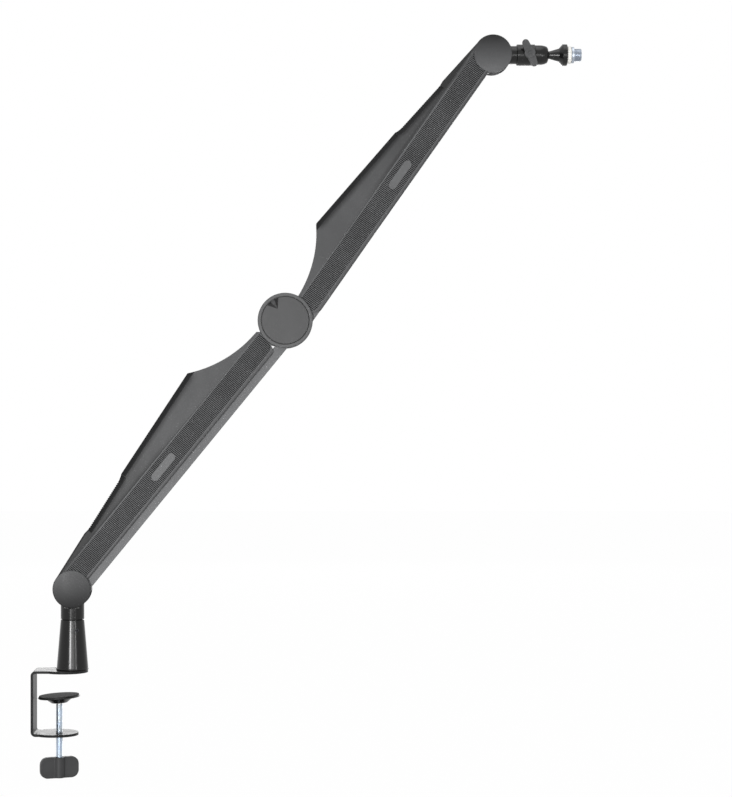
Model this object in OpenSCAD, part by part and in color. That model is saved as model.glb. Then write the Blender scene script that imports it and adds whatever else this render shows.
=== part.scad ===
// Desk-clamped microphone boom arm: two arm links, each a parallelogram with a
// hidden second link, so that the hub and the microphone head stay level.
// Frame: +X is the way the head points, +Y is away from the front, +Z is up.
// The origin is on the post axis, at the underside of the clamp's top jaw.

/* [Clamp] */
// Width of the clamp plate
clamp_w = 43; // [40:1:50]
// Diameter of the jaws' round ends
jaw_end_d = 57; // [53:0.5:60]
// Thickness of the clamp plate
clamp_t = 3.2; // [2.5:0.1:4]
// Post axis to the outer face of the upright
clamp_reach = 50.2; // [49:0.2:60]
// Outer radius of the plate's two bends
clamp_bend = 6; // [5:0.5:9]
// Clear height between the jaws, without the pad
jaw_open = 75.5; // [72:0.5:90]
// Centre of the top jaw's round end, behind the post axis
top_end_back = 9; // [7:0.5:11]
// Centre of the bottom jaw's round end, behind the post axis
low_end_back = 21; // [18:0.5:24]
// Clamp screw axis, behind the post axis
screw_back = 16.6; // [15:0.2:19]
// Turn of the clamp about the post, seen from above
clamp_yaw = 0; // [-30:1:30]

/* [Clamp screw] */
// Thread diameter of the clamp screw
clamp_screw_d = 8.5; // [7:0.5:10]
// Drop from the top jaw to the top of the knob
knob_drop = 106.5; // [105:0.5:115]
// Width of the knob
knob_w = 49.5; // [44:0.5:54]
// Height of the knob
knob_h = 26.6; // [22:0.2:30]
// Thickness of the knob's two wings
knob_t = 6; // [5:0.5:8]
// Diameter of the knob's middle boss
knob_boss_d = 14; // [13:0.5:18]
// Turn of the knob about the screw
knob_turn = 22; // [-90:1:90]
// Diameter of the pad
pad_d = 52.8; // [46:0.2:56]
// Drop from the top jaw to the top of the pad
pad_drop = 28.8; // [22:0.2:32]
// Thickness of the pad's rim
pad_rim = 2.6; // [2.4:0.1:3.6]
// Thickness of the pad's rubber face
rubber_t = 1.2; // [0.8:0.1:1.4]
// Lean of the pad on its ball
pad_lean = 3.5; // [0:0.5:4]

/* [Post] */
// Diameter of the lip at the foot of the post
post_lip_d = 41; // [40:0.5:44]
// Height of the lip
post_lip_h = 2.2; // [1.5:0.1:3]
// Diameter of the cone at its foot
post_foot_d = 39.5; // [34:0.5:39.5]
// Diameter of the cone at its top, and of the collar
post_top_d = 29.5; // [26:0.1:31]
// Height of the cone's top over the jaw's underside
post_top_z = 66.1; // [60:0.1:72]
// Diameter of the swivel spigot
spigot_d = 12; // [10:0.5:13]
// Height of the grub screw
grub_z = 53.2; // [50:0.1:59]
// Height of the lower edge of the collar's flats
collar_flat_z = 80.7; // [78:0.1:80.7]
// Top of the collar
collar_top_z = 87.5; // [85:0.1:90]

/* [Arms] */
// Distance between an arm's two pivots
link_len = 400; // [380:1:430]
// Lower arm's angle over the horizontal
lower_angle = 50.9; // [30:0.1:70]
// Upper arm's angle over the horizontal
upper_angle = 54.75; // [10:0.05:58]
// Height of the lower arm's foot pivot
base_pivot_z = 104.7; // [104.7:0.1:112]
// Outer half width of an arm
arm_half = 11; // [10.8:0.1:11.2]
// Wall of the arm's shell
shell_wall = 2.2; // [2:0.1:2.4]
// Depth of the shell below the line of its pivots, at the hub
body_low_hub = 9.3; // [8.8:0.1:9.6]
// Depth of the shell below that line, at the far end
body_low_far = 7.8; // [7.6:0.1:8.4]
// Top of the ribbed body, over the line of its pivots
body_top = 20.8; // [20.4:0.1:22]
// Ceiling of the spring channel, over the line of its pivots
channel_top = 17.9; // [17.7:0.1:18.4]

/* [Fin] */
// Fin's highest point, along the arm from the hub pivot
fin_peak_u = 99; // [95:1:110]
// Height of the fin's highest point
fin_peak_v = 58.2; // [52:0.2:62]
// Radius of the hollow curve that climbs to it
fin_curve_r = 152; // [140:1:220]
// End of the smooth part of the cable cover
cover_step_u = 248; // [240:1:254]
// Height there
cover_step_v = 43.3; // [42:0.1:46]
// Start of the cover's finger grip
grip_start_u = 257; // [255:1:264]
// Height there
grip_start_v = 40.2; // [39:0.1:42]
// End of the cover's finger grip
grip_end_u = 330; // [320:1:336]
// Height there
grip_end_v = 31.3; // [30.5:0.1:33.5]
// Height of the shell's end behind the far disc
tail_v = 23.1; // [21.5:0.1:25]
// Thinning of the fin on each side at its far end
fin_thinning = 3.5; // [2:0.1:4]
// Depth of the cable cover
cover_h = 6.5; // [5:0.1:7]

/* [Ribbed panels] */
// Lower edge of the panel, below the line of the pivots
panel_low = 4.5; // [3:0.1:5.5]
// Upper edge of the panel, over the line of the pivots
panel_high = 19.4; // [19:0.1:19.6]
// Distance from one rib to the next
rib_pitch = 2.1; // [2:0.05:5]
// Length of a badge
badge_l = 42; // [30:1:50]
// Height of a badge
badge_h = 10; // [8:0.2:12]
// Badge centre, along the arm from the hub pivot
badge_u = 209; // [150:1:260]

/* [Pivots] */
// Offset of a second link's pivot from the arm's own
second_offset = 17; // [16.8:0.1:18]
// Direction of that offset for the lower arm
lower_offset_angle = 5; // [0:1:6]
// Direction of that offset for the upper arm
upper_offset_angle = -112; // [-114:1:-108]
// Diameter of the foot and head pivot pins
main_pin_d = 10; // [8:0.5:11]
// Diameter of the stub pins at the hub
stub_pin_d = 6; // [5:0.5:6.5]
// Diameter of the second links' pins
link_pin_d = 8; // [6:0.5:8]
// Half thickness of the middle tongues
tongue_half = 5.2; // [4.8:0.1:5.4]
// Radial running clearance of every pin
run_gap = 0.05; // [0.03:0.01:0.09]
// Clearance between pieces that don't move on each other
seat_gap = 0.05; // [0.02:0.01:0.1]

/* [Discs and hub] */
// Diameter of the discs at the foot and the head
disc_d = 47.5; // [42:0.5:47.5]
// Height of the discs' dome
disc_dome = 1; // [0.5:0.1:1.5]
// Inner face of every disc and plate
disc_in = 11.4; // [11.3:0.1:11.8]
// Outer face of every disc and plate
disc_out = 15; // [14.8:0.1:16]
// Diameter of the hub
hub_d = 69; // [68.5:0.5:72]
// Diameter of the hub caps
hub_cap_d = 59.4; // [57:0.2:60]
// Distance of the hub's two arm pivots from its centre
hub_pivot_r = 30; // [29:0.2:30.5]
// Direction of the lower arm's pivot
hub_lower_angle = 240; // [236:1:244]
// Direction of the upper arm's pivot
hub_upper_angle = 13.8; // [10:0.2:18]

/* [Microphone head] */
// Diameter of the neck
neck_d = 22.6; // [20:0.1:22.7]
// Where the neck starts, from the head pivot
neck_start = 19; // [18:0.5:22]
// Length from the head pivot to the ball housing
neck_end = 30.3; // [28:0.1:34]
// Diameter of the ball housing
housing_d = 26.5; // [26:0.1:28]
// Diameter of the housing's nose
nose_d = 24.5; // [24.3:0.1:25.5]
// Where the nose starts, from the housing's back face
nose_start = 23.1; // [22:0.1:26]
// Length of the housing
housing_l = 39.2; // [38.8:0.1:39.8]
// Diameter of the ball
ball_d = 18.6; // [18:0.1:18.8]
// Ball centre, from the housing's back face
ball_at = 32.2; // [32:0.1:32.6]
// Diameter of the stem's waist
stem_d = 9.6; // [8:0.1:9.8]
// Length of the stem from the ball centre to its flange's front
stem_l = 31; // [29:0.1:36]
// Diameter of the stem's flange
flange_d = 27; // [24:0.1:28]
// Span of the wing screw
wing_l = 36; // [30:0.1:38]
// Tilt of the wing
wing_tilt = -66.8; // [-90:0.2:90]

/* [Thread adapter] */
// Diameter of the microphone thread, the 5/8 inch stand size
mic_thread_d = 15.88; // [15.8:0.01:15.9]
// Length of the microphone thread
mic_thread_l = 9; // [8:0.5:12]
// Diameter of the adapter's ring
adapter_ring_d = 20.3; // [19:0.1:22]
// Thickness of the adapter's ring
adapter_ring_t = 3.5; // [3:0.1:5]
// Diameter of the off-white washer
mic_washer_d = 21.4; // [20:0.1:23]
// Thickness of the off-white washer
mic_washer_t = 5; // [3:0.1:6]

/* [Hidden] */

// Smoothness of round pieces
$fn = 72;
hull_fn = 32;

// Colours, as the object shows them
graphite = [0.37, 0.37, 0.38];
ribbed_grey = [0.29, 0.29, 0.30];
soft_black = [0.13, 0.13, 0.14];
gloss_black = [0.09, 0.09, 0.10];
link_grey = [0.43, 0.43, 0.44];
steel = [0.70, 0.71, 0.73];
zinc = [0.66, 0.70, 0.76];
off_white = [0.90, 0.89, 0.85];

// Places of the pivots, as [x, z]
function polar(r, a) = [r * cos(a), r * sin(a)];
foot_at = [0, base_pivot_z];
lower_hub_at = foot_at + polar(link_len, lower_angle);
hub_at = lower_hub_at - polar(hub_pivot_r, hub_lower_angle);
upper_hub_at = hub_at + polar(hub_pivot_r, hub_upper_angle);
head_at = upper_hub_at + polar(link_len, upper_angle);
lower_shift = polar(second_offset, lower_offset_angle);
upper_shift = polar(second_offset, upper_offset_angle);

// Layers of the joints, as distances from the middle plane
link_in = tongue_half + 0.4;
link_out = arm_half - shell_wall - 1;
shell_in = arm_half - shell_wall;
link_pin_end = shell_in - 0.5;
side_play = 0.05;

// The two second links: depth below and height over the line of their pivots;
// the lower arm's is deeper at the hub
link_low = 5;
link_low_hub = 6.5;
link_high = 6.8;
link_floor = 2;
link_floor_end = 16;

// Bosses of the tongues
main_boss_r = 13;
side_boss_r = 7.5;
core_boss_r = 10;
pin_press = 2;

// Grub screw: radius and turn from the front
grub_r = 2.5;
grub_turn = 29;

function lerp(a, b, t) = a + (b - a) * t;

// Puts a shape that is drawn in an arm's own frame in its place: u along the
// arm from its hub pivot, y across, v over the line of the pivots
module lower_place() {
    translate([lower_hub_at[0], 0, lower_hub_at[1]])
        rotate([0, -(lower_angle + 180), 0])
            mirror([0, 0, 1])
                children();
}

module upper_place() {
    translate([upper_hub_at[0], 0, upper_hub_at[1]])
        rotate([0, -upper_angle, 0])
            children();
}

// Puts a shape at a pivot, given as [x, z]
module at(p) {
    translate([p[0], 0, p[1]])
        children();
}

// Lays a flat outline in the XZ plane and gives it a thickness across
module across(half) {
    rotate([90, 0, 0])
        linear_extrude(height = 2 * half, center = true)
            children();
}

// A slab from y0 to y1 with the outline given in the XZ plane
module slab(y0, y1) {
    translate([0, y1, 0])
        rotate([90, 0, 0])
            linear_extrude(height = y1 - y0)
                children();
}

// A round bar across, from y0 to y1
module bar(r, y0, y1) {
    translate([0, y1, 0])
        rotate([90, 0, 0])
            cylinder(r = r, h = y1 - y0);
}

module both_sides() {
    children();
    mirror([0, 1, 0])
        children();
}

module clamp_place() {
    rotate([0, 0, clamp_yaw])
        children();
}

// Clamp plate: jaws with round ends, an upright and two bends
bolt_r = 4;
bolt_head_r = 7.5;
bolt_head_h = 2.8;

module jaw(z, end_x) {
    translate([0, 0, z])
        linear_extrude(height = clamp_t) {
            translate([-clamp_reach + clamp_bend, -clamp_w / 2])
                square([clamp_reach - clamp_bend + end_x, clamp_w]);
            intersection() {
                translate([end_x, 0])
                    circle(d = jaw_end_d);
                translate([-clamp_reach + clamp_bend + 1, -jaw_end_d])
                    square(2 * jaw_end_d);
            }
        }
}

module bend(z, up) {
    translate([-clamp_reach + clamp_bend, 0, z])
        across(clamp_w / 2)
            intersection() {
                difference() {
                    circle(r = clamp_bend);
                    circle(r = clamp_bend - clamp_t);
                }
                translate([-clamp_bend, up ? 0 : -clamp_bend])
                    square(clamp_bend);
            }
}

module clamp_frame() {
    low_z = -jaw_open - clamp_t;
    color(graphite)
        clamp_place()
            difference() {
                union() {
                    jaw(0, -top_end_back);
                    jaw(low_z, -low_end_back);
                    bend(clamp_t - clamp_bend, true);
                    bend(low_z + clamp_bend, false);
                    translate([-clamp_reach, -clamp_w / 2, low_z + clamp_bend])
                        cube([clamp_t, clamp_w, clamp_t - low_z - 2 * clamp_bend]);
                }
                cylinder(r = bolt_r + seat_gap, h = 3 * clamp_t, center = true);
                cylinder(r1 = bolt_head_r + seat_gap, r2 = bolt_r + seat_gap, h = bolt_head_h);
                translate([-screw_back, 0, low_z - 1])
                    cylinder(d = clamp_screw_d + 2 * run_gap, h = clamp_t + 2);
            }
}

// Countersunk bolt that holds the post to the top jaw
post_bolt_l = 18;
hex_key_d = 5;

module post_bolt() {
    color(steel)
        clamp_place()
            difference() {
                union() {
                    cylinder(r1 = bolt_head_r, r2 = bolt_r, h = bolt_head_h);
                    cylinder(r = bolt_r, h = post_bolt_l);
                }
                translate([bolt_head_r - 2.2, 0, -1])
                    cylinder(r = 0.8, h = 1.8);
            }
}

// Post: a lipped cone over the jaw, bored for the bush and the bolt
post_foot_z = clamp_t;
bush_r = spigot_d / 2 + 3;
bush_foot_z = post_top_z - 38;
spigot_foot_z = bush_foot_z + 1;

module post_cone() {
    color(gloss_black)
        difference() {
            rotate_extrude()
                polygon([
                    [0, post_foot_z],
                    [post_lip_d / 2 - 0.6, post_foot_z],
                    [post_lip_d / 2, post_foot_z + 0.6],
                    [post_lip_d / 2, post_foot_z + post_lip_h - 0.6],
                    [post_lip_d / 2 - 0.6, post_foot_z + post_lip_h],
                    [post_foot_d / 2, post_foot_z + post_lip_h],
                    [post_top_d / 2, post_top_z - 0.6],
                    [post_top_d / 2 - 0.6, post_top_z],
                    [0, post_top_z]
                ]);
            translate([0, 0, bush_foot_z])
                cylinder(r = bush_r + seat_gap, h = post_top_z);
            translate([0, 0, post_foot_z - 1])
                cylinder(r = bolt_r + seat_gap, h = post_bolt_l - post_foot_z + 2);
            grub_hole();
        }
}

module grub_hole() {
    rotate([0, 0, grub_turn])
        translate([0, 0, grub_z])
            bar(grub_r + seat_gap, -post_foot_d, -spigot_d / 4);
}

module post_bush() {
    color(off_white)
        difference() {
            translate([0, 0, bush_foot_z])
                cylinder(r = bush_r, h = post_top_z - bush_foot_z);
            cylinder(d = spigot_d + 2 * run_gap, h = 3 * post_top_z, center = true);
            grub_hole();
        }
}

// Grub screw that sets the drag of the swivel, with a hexagon socket
module grub_screw() {
    color(zinc)
        rotate([0, 0, grub_turn])
            translate([0, 0, grub_z])
                difference() {
                    bar(grub_r, -post_top_d / 2 - 0.4, -spigot_d / 2 - 0.1);
                    translate([0, -post_top_d / 2 + 2, 0])
                        rotate([90, 0, 0])
                            cylinder(d = 2.6, h = 4, $fn = 6);
                }
}

swivel_washer_t = 0.8;

module swivel_washer() {
    color(off_white)
        translate([0, 0, post_top_z])
            difference() {
                cylinder(r = post_top_d / 2 - 2, h = swivel_washer_t);
                translate([0, 0, -1])
                    cylinder(d = spigot_d + 2 * run_gap, h = swivel_washer_t + 2);
            }
}

// Swivel head: the collar on the post, and the tongue with both foot pivots
collar_z = post_top_z + swivel_washer_t;
spigot_top_z = collar_z + 13;

module swivel_head() {
    color(gloss_black)
        difference() {
            union() {
                translate([0, 0, collar_z])
                    cylinder(d = post_top_d, h = collar_flat_z - collar_z);
                intersection() {
                    translate([0, 0, collar_flat_z - 1])
                        cylinder(d = post_top_d, h = collar_top_z - collar_flat_z + 1);
                    translate([0, 0, collar_flat_z])
                        cube([post_top_d, 2 * (disc_in - 0.2), 4 * collar_top_z], center = true);
                }
                translate([-main_boss_r + 2, -neck_half, collar_top_z - 1])
                    cube([2 * main_boss_r - 2, 2 * neck_half, base_pivot_z - collar_top_z + 1]);
                tongue(foot_at, lower_shift, lower_offset_angle);
            }
            translate([0, 0, collar_z - 1])
                cylinder(d = spigot_d + 2 * seat_gap, h = spigot_top_z - collar_z + 1 + seat_gap);
            at(foot_at)
                bar(main_pin_d / 2 + seat_gap, -2 * disc_in, 2 * disc_in);
            at(foot_at + lower_shift)
                bar(link_pin_d / 2 + seat_gap, -2 * disc_in, 2 * disc_in);
        }
}

// Main boss and second boss, with a web between them that is a little
// lower and thinner, as is the neck that carries them
web_h = side_boss_r - 0.5;
web_half = tongue_half - 0.3;
neck_half = tongue_half - 0.6;

module tongue(p, shift, angle) {
    at(p) {
        bar(main_boss_r, -tongue_half, tongue_half);
        rotate([0, -angle, 0])
            translate([0, -web_half, -web_h])
                cube([second_offset, 2 * web_half, 2 * web_h]);
    }
    at(p + shift)
        bar(side_boss_r, -tongue_half, tongue_half);
}

module swivel_spigot() {
    color(steel)
        translate([0, 0, spigot_foot_z])
            cylinder(d = spigot_d, h = spigot_top_z - spigot_foot_z);
}

pin_end = disc_in + pin_press;

module pivot_pin(p) {
    color(steel)
        at(p)
            bar(main_pin_d / 2, -pin_end, pin_end);
}

module link_pin(p) {
    color(steel)
        at(p)
            bar(link_pin_d / 2, -link_pin_end, link_pin_end);
}

// Two friction washers that fill the space between a tongue and the shell
washer_r = 8.5;

module washer_pair(p) {
    color(off_white)
        at(p)
            both_sides()
                difference() {
                    bar(washer_r, tongue_half, shell_in - side_play);
                    bar(main_pin_d / 2 + seat_gap, 0, 2 * shell_in);
                }
}

// Round cover disc over a pivot, on the front side: half its section, and
// the radius of its slight dome
disc_edge = 0.6;
dome_r = (pow(disc_d / 2, 2) + pow(disc_dome, 2)) / (2 * disc_dome);

module disc_section() {
    rim = disc_out - disc_dome;
    flat_top = disc_out - 0.01;
    intersection() {
        polygon([
            [0, disc_in],
            [disc_d / 2, disc_in],
            [disc_d / 2, rim - disc_edge],
            [disc_d / 2 - flat_top + rim - disc_edge, flat_top],
            [0, flat_top]
        ]);
        translate([0, disc_out - dome_r])
            circle(r = dome_r, $fn = 720);
    }
}

module disc_front(p) {
    color(graphite)
        at(p)
            difference() {
                rotate([90, 0, 0])
                    rotate_extrude($fn = 120)
                        disc_section();
                bar(main_pin_d / 2 + seat_gap, -pin_end - seat_gap, 0);
            }
}

module disc_rear(p) {
    mirror([0, 1, 0])
        disc_front(p);
}

module base_pin() pivot_pin(foot_at);
module base_link_pin() link_pin(foot_at + lower_shift);
module base_washers() washer_pair(foot_at);
module base_disc_front() disc_front(foot_at);
module base_disc_rear() disc_rear(foot_at);

// Arm outline, u along and v up: the hollow curve, the cover's top and the tail
end_over = 8;
ear_r = 5.2;
ear_side = [-4, 12];
ear_top = [4, 23.6];
curve_start = [16, 24.4];
tail_start_u = grip_end_u + 6;
tail_start_v = grip_end_v + 0.5;
tail_corner = 3;
curve_steps = 14;
fin_peak = [fin_peak_u, fin_peak_v];

// Centre of the circle of radius r that joins a and b and lies over both
function arc_centre(a, b, r) =
    let (mid = (a + b) / 2, half = norm(b - a) / 2, lift = sqrt(r * r - half * half))
    mid + lift * [a[1] - b[1], b[0] - a[0]] / (2 * half);

curve_centre = arc_centre(curve_start, fin_peak, fin_curve_r);

function curve_v(u) = curve_centre[1] - sqrt(pow(fin_curve_r, 2) - pow(u - curve_centre[0], 2));

curve_points = [
    for (i = [0:curve_steps])
        let (u = lerp(curve_start[0], fin_peak_u, i / curve_steps))
        [u, curve_v(u)]
];

cover_top = [
    fin_peak,
    [cover_step_u, cover_step_v],
    [grip_start_u, grip_start_v],
    [grip_end_u, grip_end_v]
];

// Round corner under the hub, and the ear round the pivot beside it
low_corner_r = 9.7;
low_corner = [15.4, low_corner_r - body_low_hub];
corner_points = [for (a = [270:-10:190]) low_corner + low_corner_r * [cos(a), sin(a)]];
ear_points = [for (a = [350:-10:180]) ear_r * [cos(a), sin(a)]];

module arm_outline() {
    polygon(concat(
        corner_points,
        ear_points,
        [ear_side, ear_top],
        curve_points,
        [
            cover_top[1],
            cover_top[2],
            cover_top[3],
            [tail_start_u, tail_start_v],
            [link_len + end_over, tail_v],
            [link_len + end_over, -body_low_far + tail_corner],
            [link_len + end_over - tail_corner, -body_low_far]
        ]
    ));
}

// The fin gets thinner from here to the far end, over a sloping ledge
thin_start_u = 30;
thin_angle = atan(fin_thinning / (link_len + end_over - thin_start_u));
ledge_slope = 0.8;

function fin_half(u) = arm_half - (u - thin_start_u) * tan(thin_angle);

module thinning_cut() {
    high = fin_peak_v + 20;
    far = link_len + 3 * end_over;
    intersection() {
        rotate([90, 0, 90])
            linear_extrude(height = far)
                polygon([
                    [arm_half + 1, body_top - ledge_slope],
                    [arm_half - 7, body_top + 7 * ledge_slope],
                    [arm_half - 7, high],
                    [arm_half + 1, high]
                ]);
        translate([thin_start_u, arm_half, 0])
            rotate([0, 0, -thin_angle])
                translate([-thin_start_u, 0, 0])
                    cube([far, 2 * arm_half, high]);
    }
}

// Slanting cut along the top of the fin from a to b, begun a lead before a
bevel_in = 4;
bevel_rise = 0.15;
curve_lead = 3 * end_over;

module bevel_cut(a, b, depth, lead = end_over) {
    du = b[0] - a[0];
    dv = b[1] - a[1];
    dy = fin_half(b[0]) - fin_half(a[0]);
    translate([a[0], fin_half(a[0]), a[1] - depth + bevel_rise])
        rotate([0, 0, atan2(dy, du)])
            rotate([0, -atan2(dv, norm([du, dy])), 0])
                rotate([atan2(bevel_in * depth / cover_h, depth), 0, 0])
                    translate([-lead, 0, -0.5])
                        cube([norm([du, dv]) + lead, arm_half, 4 * depth]);
}

tail_bevel = 2;
edge_chamfer = 1.2;
low_angle = atan((body_low_hub - body_low_far) / (link_len + end_over - tail_corner - low_corner[0]));

module arm_block() {
    difference() {
        across(arm_half)
            arm_outline();
        both_sides() {
            thinning_cut();
            bevel_cut(cover_top[0], cover_top[1], cover_h, curve_lead);
            bevel_cut(cover_top[2], cover_top[3], cover_h);
            bevel_cut([tail_start_u, tail_start_v], [link_len + end_over, tail_v], tail_bevel);
            translate([low_corner[0], arm_half, -body_low_hub + edge_chamfer])
                rotate([0, -low_angle, 0])
                    rotate([45, 0, 0])
                        translate([-2 * low_corner_r, -2 * edge_chamfer, -4 * edge_chamfer])
                            cube([link_len + 4 * low_corner_r, 4 * edge_chamfer, 4 * edge_chamfer]);
        }
    }
}

// The split line of the cable cover runs below its top by the cover's depth
cover_drop = [0, -cover_h];
first_slope = (cover_step_v - fin_peak_v) / (cover_step_u - fin_peak_u);
cover_lead = 25;
split_line = [
    [fin_peak_u - cover_lead, fin_peak_v - cover_h - cover_lead * first_slope],
    cover_top[1] + cover_drop,
    cover_top[2] + cover_drop,
    cover_top[3] + cover_drop
];

function split_v(u) = lookup(u, split_line);

module cover_region() {
    polygon(concat(
        split_line,
        [[grip_end_u, 2 * fin_peak_v], [fin_peak_u - cover_lead, 2 * fin_peak_v]]
    ));
}

// Cable channel under the cover, and the rail that holds the cover in it
slot_half = 4.8;
slot_floor = body_top + 0.6;
slot_start_u = fin_peak_u + 6;
slot_end_u = grip_end_u - 4;
rail_h = 2.5;

module cable_slot() {
    polygon([
        [slot_start_u - 42, slot_floor],
        [slot_start_u, split_v(slot_start_u) - 0.1],
        [slot_start_u, split_v(slot_start_u) + 1],
        split_line[1] + [0, 1],
        split_line[2] + [0, 1],
        [slot_end_u, split_v(slot_end_u) + 1],
        [slot_end_u, split_v(slot_end_u) - 0.1],
        [slot_end_u + 50, slot_floor]
    ]);
}

module cover_rail() {
    polygon(concat(
        [[slot_start_u + 1, split_v(slot_start_u + 1)]],
        [for (p = [split_line[1], split_line[2]]) p],
        [[slot_end_u - 1, split_v(slot_end_u - 1)]],
        [[slot_end_u - 1, split_v(slot_end_u - 1) - rail_h]],
        [for (p = [split_line[2], split_line[1]]) p - [0, rail_h]],
        [[slot_start_u + 1, split_v(slot_start_u + 1) - rail_h]]
    ));
}

// Ribbed panel: its outline, and the comb of ribs
panel_in = arm_half - 1.2;
rib_valley = arm_half - 0.6;
panel_start_u = 4.4;
panel_end_u = link_len - 10;
panel_h = panel_high + panel_low;
panel_mid_v = (panel_high - panel_low) / 2;
corner_r = 10;

module panel_outline(grow) {
    difference() {
        translate([panel_start_u - grow, -panel_low - grow])
            square([panel_end_u - panel_start_u + 2 * grow, panel_h + 2 * grow]);
        translate([panel_start_u - grow - 1, -panel_low - grow - 1])
            difference() {
                square(corner_r + 1);
                translate([corner_r + 1, corner_r + 1])
                    circle(r = corner_r);
            }
    }
}

module badge_outline(grow) {
    reach = (badge_l - badge_h) / 2;
    translate([badge_u - reach, panel_mid_v - badge_h / 2 - grow])
        square([2 * reach, badge_h + 2 * grow]);
    for (s = [-1, 1])
        translate([badge_u + s * reach, panel_mid_v])
            circle(d = badge_h + 2 * grow);
}

rib_count = floor((panel_end_u - panel_start_u) / rib_pitch);
rib_w = rib_pitch * 0.5;

module rib_comb() {
    translate([0, 0, -panel_low])
        linear_extrude(height = panel_h)
            polygon(concat(
                [[panel_start_u, panel_in]],
                [
                    for (i = [0:rib_count - 1])
                        let (u = panel_start_u + i * rib_pitch)
                        each [
                            [u, rib_valley],
                            [u + rib_w, rib_valley],
                            [u + rib_w, arm_half],
                            [u + rib_pitch, arm_half]
                        ]
                ],
                [[panel_start_u + rib_count * rib_pitch, panel_in]]
            ));
}

module panel_rear() {
    color(ribbed_grey)
        difference() {
            intersection() {
                rib_comb();
                slab(0, 2 * arm_half)
                    panel_outline(0);
            }
            slab(rib_valley, 2 * arm_half)
                badge_outline(seat_gap);
        }
}

badge_proud = 0.6;

module badge_rear() {
    color(graphite)
        slab(rib_valley, arm_half + badge_proud)
            badge_outline(0);
}

// Shell of an arm: an upside-down channel with the hollow fin on top
spring_v = 12;
spring_pin_u = 236;
spring_pin_r = 2.5;
spring_pin_end = shell_in + 0.7;

module arm_shell() {
    color(graphite)
        difference() {
            arm_block();
            across(2 * arm_half)
                cover_region();
            translate([-4 * ear_r, -shell_in, -2 * body_low_hub])
                cube([link_len + 8 * ear_r, 2 * shell_in, 2 * body_low_hub + channel_top]);
            across(slot_half)
                cable_slot();
            both_sides()
                slab(panel_in, 2 * arm_half)
                    panel_outline(seat_gap);
            bar(stub_pin_d / 2 + run_gap, -2 * arm_half, 2 * arm_half);
            translate([link_len, 0, 0])
                bar(main_pin_d / 2 + run_gap, -2 * arm_half, 2 * arm_half);
            translate([spring_pin_u, 0, spring_v])
                bar(spring_pin_r + seat_gap, -spring_pin_end - seat_gap, spring_pin_end + seat_gap);
        }
}

// Cable cover: the top of the fin, with cross grooves on the finger grip
groove_pitch = 2.75;
groove_w = groove_pitch * 0.5;
groove_depth = 0.7;
grip_angle = atan2(grip_end_v - grip_start_v, grip_end_u - grip_start_u);
grip_l = norm([grip_end_u - grip_start_u, grip_end_v - grip_start_v]);

module cable_cover() {
    color(soft_black)
        difference() {
            union() {
                intersection() {
                    arm_block();
                    across(2 * arm_half)
                        cover_region();
                }
                across(slot_half - seat_gap)
                    cover_rail();
            }
            translate([grip_start_u, 0, grip_start_v])
                rotate([0, -grip_angle, 0])
                    for (x = [groove_pitch:groove_pitch:grip_l - groove_pitch])
                        translate([x, -arm_half, -groove_depth])
                            cube([groove_w, 2 * arm_half, 2 * groove_depth]);
        }
}

// Balance spring, drawn as a closed sleeve with an eye on its pin
spring_r = 5.3;
spring_bore = 4.1;
spring_start_u = spring_pin_u + 26;
spring_end_u = link_len - 30;
spring_wire = 1.2;
spring_eye_r = 4.7;

module arm_spring() {
    color(zinc)
        translate([0, 0, spring_v]) {
            translate([spring_start_u, 0, 0])
                rotate([0, 90, 0])
                    difference() {
                        cylinder(r = spring_r, h = spring_end_u - spring_start_u);
                        translate([0, 0, spring_wire])
                            cylinder(r = spring_bore, h = spring_end_u - spring_start_u - 2 * spring_wire);
                    }
            translate([spring_pin_u + spring_pin_r + 1, 0, 0])
                rotate([0, 90, 0])
                    cylinder(r = spring_wire, h = spring_start_u - spring_pin_u - spring_pin_r);
            translate([spring_pin_u, 0, 0])
                difference() {
                    bar(spring_eye_r, -spring_wire, spring_wire);
                    bar(spring_pin_r + seat_gap, -2 * spring_wire, 2 * spring_wire);
                }
        }
}

module spring_pin() {
    color(steel)
        translate([spring_pin_u, 0, spring_v])
            bar(spring_pin_r, -spring_pin_end, spring_pin_end);
}

// Second link: a thin channel, open towards the fin and cut back at its ends;
// the strip between its lowest line, raised by a lift, and a given height
module link_strip(low, u0, u1, lift, top) {
    polygon([
        [u0, lift - lerp(low, link_low, u0 / link_len)],
        [u1, lift - lerp(low, link_low, u1 / link_len)],
        [u1, top],
        [u0, top]
    ]);
}

module second_link(low) {
    color(link_grey)
        difference() {
            union() {
                both_sides()
                    slab(link_in, link_out)
                        intersection() {
                            union() {
                                link_strip(low, 0, link_len, 0, link_high);
                                circle(r = link_high);
                                translate([link_len, 0])
                                    circle(r = link_high);
                            }
                            link_strip(low, -link_len / 2, 3 * link_len / 2, 0, link_high);
                        }
                across(link_in + 0.5)
                    link_strip(low, link_floor_end, link_len - link_floor_end, 0.2, link_floor - link_low);
            }
            for (u = [0, link_len])
                translate([u, 0, 0])
                    bar(link_pin_d / 2 + run_gap, -2 * arm_half, 2 * arm_half);
        }
}

module lower_shell() lower_place() arm_shell();
module lower_cable_cover() lower_place() cable_cover();
module lower_panel_rear() lower_place() panel_rear();
module lower_panel_front() mirror([0, 1, 0]) lower_panel_rear();
module lower_badge_rear() lower_place() badge_rear();
module lower_badge_front() mirror([0, 1, 0]) lower_badge_rear();
module lower_spring() lower_place() arm_spring();
module lower_spring_pin() lower_place() spring_pin();
module lower_link() at(lower_shift) lower_place() second_link(link_low_hub);

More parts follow.
